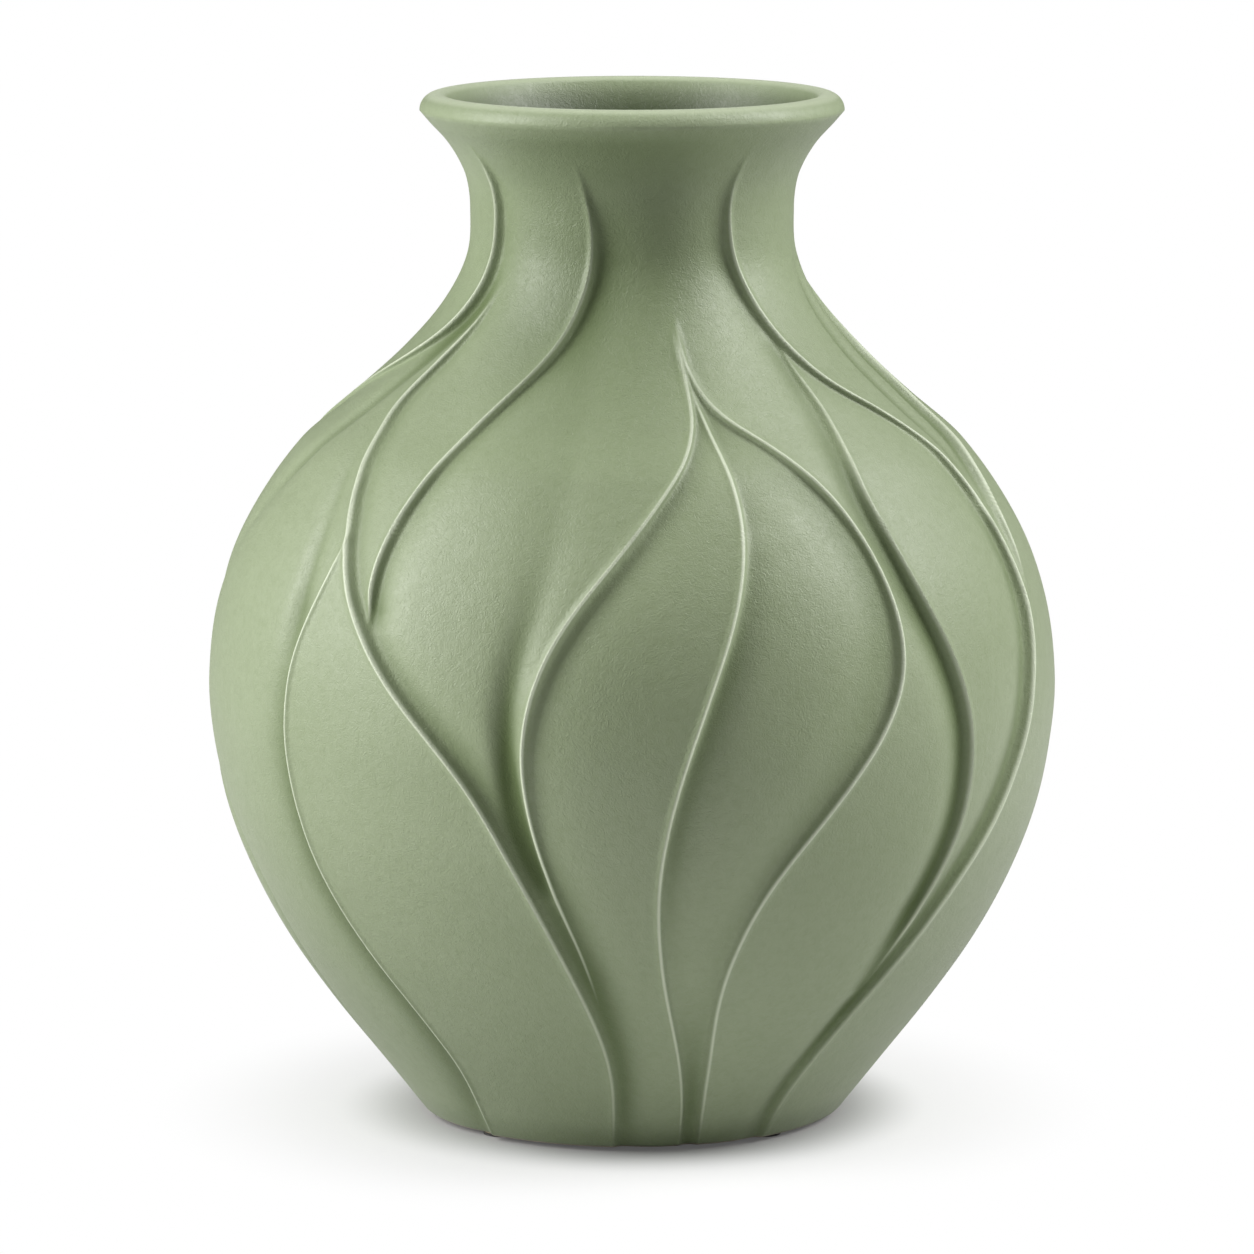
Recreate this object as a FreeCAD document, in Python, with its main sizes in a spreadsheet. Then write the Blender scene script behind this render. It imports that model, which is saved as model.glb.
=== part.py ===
import FreeCAD, Part
import Sketcher
import math
import os

# A bulbous stoneware vase with a waisted neck, a flared rolled lip and flowing leaf lines in relief.
# It stands on four self-adhesive felt pads. Millimetres, +Z up, origin under the pads on the axis.
# Azimuth is in degrees about +Z: 0 faces -Y, the front, and it grows towards +X.

Vector = FreeCAD.Vector
ORIGIN = Vector(0, 0, 0)
UP = Vector(0, 0, 1)

# Sketcher's indices of a line's ends, of the sketch's origin and of its vertical axis.
START_INDEX = 1
END_INDEX = 2
ROOT_INDEX = -1
AXIS_INDEX = -2

SIZES = [
    # the outline: three rises from the foot to the lip, and the radius at each one's end
    ("belly_rise", 129.0),
    ("shoulder_rise", 137.0),
    ("mouth_rise", 33.0),
    ("foot_radius", 60.6),
    ("belly_radius", 124.2),
    ("neck_radius", 47.0),
    ("lip_radius", 61.6),
    # the wall, its edges and the floor
    ("foot_round", 4.2),
    ("lip_roll", 4.8),
    ("lip_flat", 0.4),
    ("mouth_round", 3.0),
    ("wall", 6.0),
    ("floor_thickness", 7.0),
    ("floor_radius", 34.0),
    ("heel_rise", 5.5),
    ("inner_tolerance", 0.1),
    # the recess under the floor
    ("foot_ring_width", 13.0),
    ("recess_depth", 3.0),
    ("recess_inset", 1.0),
    ("recess_chamfer", 0.8),
    ("recess_fillet", 1.5),
    # the relief
    ("crest_height", 1.3),
    ("crest_width", 1.7),
    ("lobe_reach", 8.0),
    ("groove_depth", 3.4),
    ("groove_reach", 3.2),
    ("valley_width", 4.8),
    ("edge_softness", 1.2),
    # the pads
    ("pad_radius", 5.0),
    ("pad_thickness", 0.8),
    ("pad_edge", 0.15),
    ("adhesive_thickness", 0.2),
    ("adhesive_margin", 0.25),
    # how far a cutting tool runs past the face that it cuts
    ("overrun", 5.0),
]

# How the radius goes from one end of a rise to the other: (share of the rise, share of the change).
BELLY_SWELL_SHARES = [
    (0.0, 0.0), (0.1, 0.165), (0.25, 0.41), (0.4, 0.626),
    (0.55, 0.793), (0.7, 0.912), (0.85, 0.977), (1.0, 1.0),
]
SHOULDER_FALL_SHARES = [
    (0.0, 0.0), (0.17, 0.039), (0.33, 0.145), (0.5, 0.35), (0.6, 0.554),
    (0.7, 0.749), (0.8, 0.9), (0.9, 0.988), (1.0, 1.0),
]
MOUTH_FLARE_SHARES = [(0.0, 0.0), (0.3, 0.07), (0.5, 0.23), (0.7, 0.48), (0.88, 0.8), (1.0, 1.0)]

# Relief lines. The first number is 1 where the groove lies at a growing azimuth from the crest, -1
# where it lies on the other side, and 0 for a soft valley with no crest. The next two are shares of
# the crest's height and the groove's depth. Then come the places that the line passes, from the top
# down, each an azimuth in degrees and a share of the body's height.
FRONT_LINE_SHARES = {
    "sweep": (1, 1, 1.1, [
        (-49.5, 0.84), (-53, 0.795), (-57, 0.75), (-57.5, 0.71), (-53.5, 0.6775), (-49, 0.63),
        (-42.5, 0.5525), (-33, 0.4725), (-22.5, 0.395), (-16.5, 0.315), (-11.5, 0.23), (-6.5, 0.145),
        (-4, 0.07), (-5, 0)]),
    "neck_left": (1, 1, 0.95, [
        (-18.5, 0.9675), (-16, 0.9125), (-14, 0.865), (-16.5, 0.815), (-22.5, 0.765), (-32, 0.71),
        (-37, 0.6525), (-39, 0.5975), (-39, 0.545), (-38.5, 0.5175)]),
    "leaf_valley": (0, 0, 0.7, [
        (-13.5, 0.765), (-12, 0.6725), (-13, 0.585), (-16, 0.5025), (-16.5, 0.4175), (-14.5, 0.335),
        (-11.5, 0.27)]),
    "leaf_left": (1, 0.9, 0.3, [
        (12.5, 0.805), (12.5, 0.7525), (12, 0.705), (5.5, 0.6575), (-3, 0.5925), (-10.5, 0.525),
        (-14, 0.4575), (-14, 0.3875), (-12, 0.3125), (-9, 0.2475), (-5, 0.1875), (-2, 0.1175),
        (-1, 0.0825)]),
    "leaf_middle": (1, 0.9, 0.6, [
        (13, 0.765), (15, 0.7075), (17, 0.65), (16, 0.5925), (12.5, 0.5225), (9, 0.45), (5.5, 0.375),
        (3.5, 0.3), (4, 0.23), (6, 0.165), (9, 0.0975), (12, 0.03), (12.5, 0)]),
    "leaf_right": (-1, 0.9, 0.5, [
        (12.5, 0.805), (14, 0.755), (20, 0.7125), (28.5, 0.68), (35.5, 0.6275), (38.5, 0.565),
        (38.5, 0.4975), (34.5, 0.4325), (27, 0.36), (19.5, 0.29), (15.5, 0.22), (14, 0.155), (15, 0.09),
        (17, 0.0225), (18, 0)]),
    "right_sweep": (-1, 0.5, 1.2, [
        (44.5, 0.79), (44.5, 0.735), (42.5, 0.69), (40.5, 0.65), (41.5, 0.5975), (44.5, 0.54),
        (48.5, 0.48), (51, 0.415), (51, 0.34), (49, 0.275), (45.5, 0.2175), (42.5, 0.165)]),
}
SIDE_LINE_SHARES = {
    "neck_right": (-1, 0.9, 0.8, [
        (39, 0.97), (36.5, 0.9225), (36, 0.8775), (39.5, 0.83), (44.5, 0.78), (53, 0.7325),
        (63, 0.6975), (67.5, 0.65), (69.5, 0.5925), (70.5, 0.525), (68.5, 0.4625), (65.5, 0.4025),
        (60.5, 0.34), (54.5, 0.275), (49, 0.215), (44.5, 0.16), (40.5, 0.1075), (37.5, 0.0525),
        (37.5, 0)]),
    "far_right": (-1, 0.7, 0.8, [
        (112, 0.8725), (104, 0.8325), (97, 0.7925), (90, 0.74), (84.5, 0.6925), (80, 0.6625),
        (75.5, 0.6325), (73, 0.6025), (71, 0.5725)]),
    "shoulder_right": (0, 0, 0.5, [
        (83, 0.86), (80.5, 0.8325), (77.5, 0.81), (74.5, 0.7825), (73, 0.755), (72, 0.725),
        (71.5, 0.6925), (71, 0.66), (71, 0.625)]),
    "low_left": (-1, 0.8, 0.85, [
        (-46, 0.625), (-47, 0.5725), (-50, 0.5125), (-52, 0.4525), (-52, 0.3925), (-50.5, 0.33),
        (-48.5, 0.2725), (-45.5, 0.2175), (-42, 0.1675), (-39, 0.1175), (-37.5, 0.0675), (-40, 0.0175),
        (-41, 0)]),
    "low_left_valley": (0, 0, 0.5, [
        (-58.5, 0.705), (-57, 0.68), (-55.5, 0.6525), (-54, 0.6225), (-53, 0.5925), (-52.5, 0.5575),
        (-53, 0.5275), (-53.5, 0.4975), (-54, 0.4675)]),
    "shoulder_left": (1, 0.9, 0.85, [
        (-61.5, 0.9725), (-56, 0.93), (-55, 0.8825), (-57.5, 0.8375), (-62, 0.795), (-71, 0.76),
        (-90, 0.72), (-112, 0.6325), (-124, 0.4675), (-116, 0.2675), (-107, 0.08), (-108, 0)]),
    "left_valley": (0, 0, 0.6, [
        (-54, 0.8425), (-57.5, 0.7925), (-65.5, 0.74), (-71.5, 0.685), (-77.5, 0.6225), (-87, 0.5475),
        (-94, 0.475), (-93, 0.4), (-84, 0.34), (-76, 0.28), (-73, 0.21), (-74, 0.14), (-77, 0.07),
        (-79, 0)]),
}
# How steep the mouth's inside is where it reaches the lip, as a share of the outside there.
MOUTH_SLOPE_SHARE = 0.5
# How much of the flat on the lip's crest the mouth's rounded edge may take.
MOUTH_FLAT_SHARE = 0.9
# The leaf lines of the front come again on the back, turned by this angle.
BACK_TURN = 165.0

# A line swells from nothing over the first of these shares of the height, unless it starts at the
# foot. The relief dies out below the lip and is weaker at the foot.
LINE_END_SHARE = 0.05
RELIEF_TOP_SHARE = 0.93
RELIEF_FADE_SHARE = 0.045
FOOT_RELIEF_SHARE = 0.6

# Counts of control points round and up the wall, and of pads.
COLUMNS = 240
WALL_ROWS = 92
ROUND_ROWS = 3
HOLLOW_POINTS = 20
PAD_COUNT = 4
PAD_START_ANGLE = 45.0
DEGREE = 3


def fill_sheet(document):
    """Write each named size into its own cell of a new sheet."""
    sheet = document.addObject("Spreadsheet::Sheet", "Sizes")
    for row, (name, value) in enumerate(SIZES, start=1):
        sheet.set("A%d" % row, name)
        sheet.set("B%d" % row, str(value))
        sheet.setAlias("B%d" % row, name)
    document.recompute()
    return sheet


def slope_at(points, index):
    """Slope of the smooth curve at one of its points."""
    before = points[max(index - 1, 0)]
    after = points[min(index + 1, len(points) - 1)]
    return (after[1] - before[1]) / (after[0] - before[0])


def smooth_value(points, place):
    """Value and slope, at a place, of the smooth curve through points in growing order."""
    place = min(max(place, points[0][0]), points[-1][0])
    index = 0
    while index < len(points) - 2 and place > points[index + 1][0]:
        index += 1
    start, end = points[index], points[index + 1]
    span = end[0] - start[0]
    rise = end[1] - start[1]
    run = (place - start[0]) / span
    first = slope_at(points, index) * span
    last = slope_at(points, index + 1) * span
    bend = 3 * rise - 2 * first - last
    twist = first + last - 2 * rise
    value = start[1] + run * (first + run * (bend + run * twist))
    slope = (first + run * (2 * bend + run * 3 * twist)) / span
    return value, slope


def ease(run):
    """Smooth step from 0 to 1."""
    run = min(max(run, 0.0), 1.0)
    return run * run * (3 - 2 * run)


class Outline:
    """Half section of the outer wall, between the foot's round and the lip's roll."""

    def __init__(self, sizes):
        self.base = sizes.pad_thickness + sizes.adhesive_thickness
        self.height = sizes.belly_rise + sizes.shoulder_rise + sizes.mouth_rise
        self.top = self.base + self.height
        self.low = self.base + sizes.foot_round
        self.high = self.top - sizes.lip_roll
        belly = self.base + sizes.belly_rise
        neck = belly + sizes.shoulder_rise
        foot_edge = sizes.foot_radius + sizes.foot_round
        self.stations = (
            stretch(BELLY_SWELL_SHARES, self.low, belly, foot_edge, sizes.belly_radius)
            + stretch(SHOULDER_FALL_SHARES, belly, neck, sizes.belly_radius, sizes.neck_radius)[1:]
            + stretch(MOUTH_FLARE_SHARES, neck, self.high, sizes.neck_radius, sizes.lip_radius)[1:])
        self.crest_radius = sizes.lip_radius - sizes.lip_roll - sizes.lip_flat
        self.mouth_radius = sizes.lip_radius - 2 * sizes.lip_roll
        self.mouth_slope = MOUTH_SLOPE_SHARE * self.radius(self.high)[1]

    def radius(self, level):
        """Radius at a level, and how fast it changes with the level."""
        return smooth_value(self.stations, level)


def stretch(shares, low, high, first, last):
    """Stations (level, radius) between two levels, from shares of the rise and of the change."""
    return [(low + (high - low) * rise, first + (last - first) * change) for rise, change in shares]


def all_lines():
    """Every relief line as (side, crest, groove, points), the points from the foot up."""
    lines = []
    tables = [(FRONT_LINE_SHARES, 0.0), (SIDE_LINE_SHARES, 0.0), (FRONT_LINE_SHARES, BACK_TURN)]
    for table, turn in tables:
        for side, crest, groove, places in table.values():
            points = [(share, azimuth + turn) for azimuth, share in reversed(places)]
            lines.append((side, crest, groove, points))
    return lines


def lines_at_level(lines, share, radius, steepness, height):
    """The lines that cross a level, each with its azimuth there and the distance square to the line
    that one degree stands for."""
    crossing = []
    for side, crest, groove, points in lines:
        low, high = points[0][0], points[-1][0]
        strength = ease((high - share) / LINE_END_SHARE)
        if low > 0:
            strength *= ease((share - low) / LINE_END_SHARE)
        if strength > 0:
            azimuth, drift = smooth_value(points, share)
            sideways = radius * math.radians(drift) / (height * steepness)
            degree_width = math.radians(1) * radius / math.hypot(1, sideways)
            crossing.append((side, crest * strength, groove * strength, azimuth, degree_width))
    return crossing


def relief(crossing, azimuth, sizes):
    """How far the carved wall stands out from the plain one at an azimuth of a level."""
    total = 0.0
    for side, crest, groove, line_azimuth, degree_width in crossing:
        turn = (azimuth - line_azimuth + 180) % 360 - 180
        offset = turn * degree_width
        if side == 0:
            total -= groove * sizes.groove_depth * math.exp(-(offset / sizes.valley_width) ** 2)
        else:
            past = side * offset
            beyond = (math.hypot(past, sizes.edge_softness) + past) / 2
            before = (math.hypot(past, sizes.edge_softness) - past) / 2
            lobe = math.exp(-before / sizes.lobe_reach - (beyond / sizes.crest_width) ** 2)
            reach = beyond / sizes.groove_reach
            total += crest * sizes.crest_height * lobe
            total -= groove * sizes.groove_depth * reach * math.exp(1 - reach)
    return sizes.groove_depth * math.tanh(total / sizes.groove_depth)


def wall_rows(outline, sizes):
    """Rows of the plain outer wall as (radius, level), from under the foot to the lip's crest."""
    rows = []
    for step in range(ROUND_ROWS):
        angle = math.radians(90) * step / ROUND_ROWS
        radius = sizes.foot_radius + sizes.foot_round * math.sin(angle)
        rows.append((radius, outline.base + sizes.foot_round * (1 - math.cos(angle))))
    for step in range(WALL_ROWS):
        level = outline.low + (outline.high - outline.low) * step / WALL_ROWS
        rows.append((outline.radius(level)[0], level))
    for step in range(ROUND_ROWS + 1):
        angle = math.radians(90) * step / ROUND_ROWS
        radius = sizes.lip_radius - sizes.lip_roll * (1 - math.cos(angle))
        rows.append((radius, outline.high + sizes.lip_roll * math.sin(angle)))
    rows.append((outline.crest_radius, outline.top))
    return rows


def carved_form(outline, sizes):
    """Closed solid inside the carved outer wall, with a flat end at the foot and at the lip."""
    lines = all_lines()
    azimuths = [360.0 * column / COLUMNS for column in range(COLUMNS)]
    poles = [[] for _ in azimuths]
    for radius, level in wall_rows(outline, sizes):
        share = (level - outline.base) / outline.height
        steepness = math.hypot(1, outline.radius(level)[1])
        crossing = lines_at_level(lines, share, radius, steepness, outline.height)
        fade = 1 - ease((share - RELIEF_TOP_SHARE) / RELIEF_FADE_SHARE)
        fade *= FOOT_RELIEF_SHARE + (1 - FOOT_RELIEF_SHARE) * ease(share / LINE_END_SHARE)
        for column, azimuth in enumerate(azimuths):
            carved = radius + fade * relief(crossing, azimuth, sizes)
            angle = math.radians(azimuth)
            poles[column].append(Vector(carved * math.sin(angle), -carved * math.cos(angle), level))
    rows = len(poles[0])
    round_knots = list(range(COLUMNS + 1))
    up_knots = list(range(rows - DEGREE + 1))
    round_counts = [1] * len(round_knots)
    up_counts = [DEGREE + 1] + [1] * (rows - DEGREE - 1) + [DEGREE + 1]
    surface = Part.BSplineSurface()
    surface.buildFromPolesMultsKnots(
        poles, round_counts, up_counts, round_knots, up_knots, True, False, DEGREE, DEGREE)
    skin = surface.toShape()
    ends = [Part.Face(Part.Wire([edge])) for edge in skin.Edges if edge.isClosed()]
    shell = Part.Shell([skin] + ends)
    shell.sewShape()
    solid = Part.Solid(shell)
    if solid.Volume < 0:
        solid.reverse()
    return solid


def hollow_form(outline, sizes):
    """What the inside takes away: the outline moved in by the wall, with a rounded floor below it and
    a mouth that widens through the lip."""
    floor_level = outline.base + sizes.recess_depth + sizes.floor_thickness
    first = floor_level + sizes.heel_rise + 2 * sizes.wall
    last = outline.high - 2 * sizes.lip_roll
    points = [Vector(sizes.floor_radius, 0, floor_level),
              Vector(sizes.foot_radius - sizes.heel_rise, 0, floor_level + sizes.heel_rise)]
    for step in range(HOLLOW_POINTS):
        level = first + (last - first) * step / (HOLLOW_POINTS - 1)
        radius, slope = outline.radius(level)
        reach = sizes.wall / math.hypot(1, slope)
        points.append(Vector(radius - reach, 0, level + reach * slope))
    points.append(Vector(outline.mouth_radius, 0, outline.high))
    outwards = Vector(1, 0, 0)
    flare = Vector(outline.mouth_slope, 0, 1)
    flare.normalize()
    inner = Part.BSplineCurve()
    inner.interpolate(Points=points, InitialTangent=outwards, FinalTangent=flare, Scale=False)
    edges = [arc.toShape() for arc in inner.toBiArcs(sizes.inner_tolerance)]
    above = outline.top + sizes.overrun
    corners = [points[-1],
               points[-1] + flare * ((above - outline.high) / flare.z),
               Vector(0, 0, above),
               Vector(0, 0, floor_level),
               points[0]]
    edges += [Part.LineSegment(start, end).toShape() for start, end in zip(corners, corners[1:])]
    section = Part.Face(Part.Wire(edges))
    return section.revolve(ORIGIN, UP, 360)


def plane_of(body, role):
    """The body's own origin plane with this role."""
    for feature in body.Origin.OriginFeatures:
        if feature.Role == role:
            return feature
    raise RuntimeError("no plane " + role)


def recess_tool(document, sizes):
    """Turned tool for the recess under the floor, with a chamfer inside the foot ring."""
    body = document.addObject("PartDesign::Body", "RecessTool")
    body.setExpression("Placement.Base.z", "Sizes.pad_thickness + Sizes.adhesive_thickness")
    sketch = body.newObject("Sketcher::SketchObject", "RecessSection")
    sketch.AttachmentSupport = (plane_of(body, "XZ_Plane"), [""])
    sketch.MapMode = "FlatFace"
    wall = sizes.foot_radius - sizes.foot_ring_width
    drawn = [Vector(0, -sizes.overrun),
             Vector(wall + sizes.recess_chamfer + sizes.overrun, -sizes.overrun),
             Vector(wall, sizes.recess_chamfer),
             Vector(wall - sizes.recess_inset, sizes.recess_depth),
             Vector(0, sizes.recess_depth)]
    for index, start in enumerate(drawn):
        sketch.addGeometry(Part.LineSegment(start, drawn[(index + 1) % len(drawn)]), False)
    for index in range(len(drawn)):
        sketch.addConstraint(
            Sketcher.Constraint("Coincident", index, END_INDEX, (index + 1) % len(drawn), START_INDEX))
    wall_sum = "Sizes.foot_radius - Sizes.foot_ring_width"
    corners = [
        ("axis_low", None, "Sizes.overrun"),
        ("chamfer_low", wall_sum + " + Sizes.recess_chamfer + Sizes.overrun", "Sizes.overrun"),
        ("wall_low", wall_sum, "Sizes.recess_chamfer"),
        ("wall_high", wall_sum + " - Sizes.recess_inset", "Sizes.recess_depth"),
        ("axis_high", None, "Sizes.recess_depth"),
    ]
    root = (ROOT_INDEX, START_INDEX)
    for index, (name, radius, level) in enumerate(corners):
        corner = (index, START_INDEX)
        place = drawn[index]
        if radius is None:
            sketch.addConstraint(Sketcher.Constraint("PointOnObject", *corner, AXIS_INDEX))
        else:
            measure(sketch, name + "_radius", "DistanceX", (root, corner), place.x, radius)
        ends = (corner, root) if place.y < 0 else (root, corner)
        measure(sketch, name + "_level", "DistanceY", ends, abs(place.y), level)
    turned = body.newObject("PartDesign::Revolution", "RecessTurned")
    turned.Profile = sketch
    turned.ReferenceAxis = (sketch, ["V_Axis"])
    turned.Angle = 360
    document.recompute()
    top = turned.Shape.BoundBox.ZMax
    rim = [name for name, edge in named_edges(turned.Shape) if edge.isClosed() and level_of(edge) == top]
    rounded = body.newObject("PartDesign::Fillet", "RecessRounded")
    rounded.Base = (turned, rim)
    rounded.setExpression("Radius", "Sizes.recess_fillet")
    body.Tip = rounded
    return body


def measure(sketch, name, kind, ends, drawn_length, expression):
    """Add a named distance between two ends to a sketch and bind it to the sheet."""
    number = sketch.addConstraint(Sketcher.Constraint(kind, *ends[0], *ends[1], drawn_length))
    sketch.renameConstraint(number, name)
    sketch.setExpression("Constraints." + name, expression)


def named_edges(shape):
    """Each edge of a shape with its name."""
    return [("Edge%d" % number, edge) for number, edge in enumerate(shape.Edges, start=1)]


def level_of(edge):
    """Highest level of an edge."""
    return edge.BoundBox.ZMax


def cut(document, name, base, tool):
    """One object less another."""
    result = document.addObject("Part::Cut", name)
    result.Base = base
    result.Tool = tool
    return result


def mouth_rounding(outline, sizes):
    """Radius of the mouth's rounded edge, which stays within the flat on the lip's crest."""
    flat = outline.crest_radius - outline.mouth_radius - outline.mouth_slope * sizes.lip_roll
    corner = math.radians(90) + math.atan(outline.mouth_slope)
    return min(sizes.mouth_round, MOUTH_FLAT_SHARE * flat * math.tan(corner / 2))


def vase_body(document, sizes):
    """The fired wall: the carved form less the hollow and the recess, with the mouth's edge rounded."""
    outline = Outline(sizes)
    carved = document.addObject("Part::Feature", "CarvedForm")
    carved.Shape = carved_form(outline, sizes)
    hollow = document.addObject("Part::Feature", "HollowForm")
    hollow.Shape = hollow_form(outline, sizes)
    opened = cut(document, "OpenedForm", carved, hollow)
    footed = cut(document, "FootedForm", opened, recess_tool(document, sizes))
    document.recompute()
    inside = outline.crest_radius - sizes.lip_flat
    rim = [number for number, edge in enumerate(footed.Shape.Edges, start=1)
           if edge.isClosed() and edge.BoundBox.XMax < inside and edge.BoundBox.ZMin > outline.high]
    body = document.addObject("Part::Fillet", "VaseBody")
    body.Label = "vase_body"
    body.Base = footed
    rounding = mouth_rounding(outline, sizes)
    body.Edges = [(number, rounding, rounding) for number in rim]
    return body


def disc(document, name, radius, thickness, level):
    """A flat disc on the Z axis, bound to the sheet."""
    shape = document.addObject("Part::Cylinder", name)
    shape.setExpression("Radius", radius)
    shape.setExpression("Height", thickness)
    shape.setExpression("Placement.Base.z", level)
    return shape


def stand_at(thing, angle):
    """Bind a disc's place to the middle of the foot ring at an azimuth."""
    reach = "(Sizes.foot_radius - Sizes.foot_ring_width / 2)"
    thing.setExpression("Placement.Base.x", "%s * sin(%g deg)" % (reach, angle))
    thing.setExpression("Placement.Base.y", "-%s * cos(%g deg)" % (reach, angle))


def pads(document, sizes):
    """The felt pads under the foot ring, each with its adhesive film on top."""
    pieces = []
    for index in range(PAD_COUNT):
        angle = PAD_START_ANGLE + 360.0 * index / PAD_COUNT
        felt = disc(document, "FeltDisc%d" % (index + 1), "Sizes.pad_radius", "Sizes.pad_thickness", "0")
        stand_at(felt, angle)
        document.recompute()
        rims = [number for number, edge in enumerate(felt.Shape.Edges, start=1) if edge.isClosed()]
        soft = document.addObject("Part::Fillet", "FeltPad%d" % (index + 1))
        soft.Label = "felt_pad_%d" % (index + 1)
        soft.Base = felt
        soft.Edges = [(number, sizes.pad_edge, sizes.pad_edge) for number in rims]
        film = disc(document, "Film%d" % (index + 1), "Sizes.pad_radius - Sizes.adhesive_margin",
                    "Sizes.adhesive_thickness", "Sizes.pad_thickness")
        stand_at(film, angle)
        film.Label = "pad_adhesive_%d" % (index + 1)
        pieces += [soft, film]
    return pieces


def check(document, pieces):
    """Stop if any object failed or any piece isn't one valid solid."""
    for thing in document.Objects:
        if "Invalid" in thing.State or "Error" in thing.State:
            raise RuntimeError("%s failed: %s" % (thing.Name, thing.State))
    for piece in pieces:
        shape = piece.Shape
        if shape.isNull() or not shape.isValid() or len(shape.Solids) != 1:
            raise RuntimeError("%s isn't one valid solid" % piece.Label)
        print("%-16s %12.1f mm3  %s" % (piece.Label, shape.Volume, shape.BoundBox))


def main():
    document = FreeCAD.newDocument("BulbVase")
    sizes = fill_sheet(document)
    pieces = [vase_body(document, sizes)] + pads(document, sizes)
    document.recompute()
    check(document, pieces)
    os.makedirs("parts", exist_ok=True)
    for piece in pieces:
        piece.Shape.exportStep("parts/%s.step" % piece.Label)


main()
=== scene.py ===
import math

import bpy
import numpy as np
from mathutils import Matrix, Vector

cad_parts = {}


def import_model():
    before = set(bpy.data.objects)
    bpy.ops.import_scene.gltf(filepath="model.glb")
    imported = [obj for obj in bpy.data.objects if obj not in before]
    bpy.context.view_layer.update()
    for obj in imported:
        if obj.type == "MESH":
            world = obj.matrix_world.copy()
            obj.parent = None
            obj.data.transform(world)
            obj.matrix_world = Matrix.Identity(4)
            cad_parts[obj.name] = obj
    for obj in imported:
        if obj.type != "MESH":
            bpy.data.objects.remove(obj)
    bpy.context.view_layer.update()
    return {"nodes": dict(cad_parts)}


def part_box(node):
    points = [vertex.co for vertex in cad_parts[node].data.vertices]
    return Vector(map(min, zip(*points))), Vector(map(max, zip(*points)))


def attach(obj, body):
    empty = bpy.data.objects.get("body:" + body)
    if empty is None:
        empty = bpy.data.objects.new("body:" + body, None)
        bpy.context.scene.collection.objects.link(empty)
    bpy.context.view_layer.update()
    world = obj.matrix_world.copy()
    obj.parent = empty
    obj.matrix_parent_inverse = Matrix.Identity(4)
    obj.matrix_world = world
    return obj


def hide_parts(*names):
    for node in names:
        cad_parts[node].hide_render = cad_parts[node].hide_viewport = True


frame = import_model()

# The vase is drawn in millimetres above the table that it stands on, and in degrees of azimuth
# about its axis: 0 faces the camera and the angle grows to the right.
MM = 0.001
BASE, TOP = (corner.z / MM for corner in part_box("vase_body"))

# The outline's radii, at the foot, the belly, the neck and the lip, and the levels between them.
BELLY_LEVEL = 130.0
NECK_LEVEL = 267.0
FOOT_RADIUS = 60.6
BELLY_RADIUS = 123.9
NECK_RADIUS = 47.0
LIP_RADIUS = 61.6
FOOT_ROUND = 4.2
LIP_ROLL = 4.8
WALL = 6.0
BELLY_SWELL = [
    (0.0, 0.0), (0.1, 0.165), (0.25, 0.41), (0.4, 0.626),
    (0.55, 0.793), (0.7, 0.912), (0.85, 0.977), (1.0, 1.0),
]
SHOULDER_FALL = [
    (0.0, 0.0), (0.17, 0.039), (0.33, 0.145), (0.5, 0.35), (0.6, 0.554),
    (0.7, 0.749), (0.8, 0.9), (0.9, 0.988), (1.0, 1.0),
]
MOUTH_FLARE = [(0.0, 0.0), (0.3, 0.07), (0.5, 0.23), (0.7, 0.48), (0.88, 0.8), (1.0, 1.0)]

# The inside: the mouth's rounded edge, how steeply it widens, how far above the floor the wall's
# offset ends, and the floor with its heel.
MOUTH_ROUND = 3.0
MOUTH_SLOPE = 0.43
INNER_START = 18.0
FLOOR_LEVEL = 11.0
FLOOR_RADIUS = 34.0
HEEL_RADIUS = 55.1
HEEL_LEVEL = 16.5

# The recess under the floor.
RING_RADIUS = 47.6
RECESS_TOP_RADIUS = 46.6
RECESS_DEPTH = 3.0
RECESS_CHAMFER = 0.8
RECESS_FILLET = 1.5
# The last row of the recess and of the floor, round the middle.
HUB_RADIUS = 2.0

# The relief's cross-section: a thin bead, a lobe that swells up to it on one side, and a groove
# that the next lobe rises from on the other. The pale width is that of the bead's pale strip:
# glaze thinning on the bead, and a painted highlight along it.
BEAD_HEIGHT = 0.9
BEAD_WIDTH = 1.1
PALE_AND_HIGHLIGHT_WIDTH = 0.6
LOBE_HEIGHT = 0.9
LOBE_REACH = 8.0
LOBE_DROP = 1.1
GROOVE_DEPTH = 2.6
GROOVE_SOFTNESS = 0.55
RELIEF_LIMIT = 4.2
# The relief fades out under the lip, and keeps only a share of its height at the foot.
RELIEF_TOP = 292.0
RELIEF_FADE = 12.0
FOOT_RELIEF = 0.7
FOOT_FADE = 14.0

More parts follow.
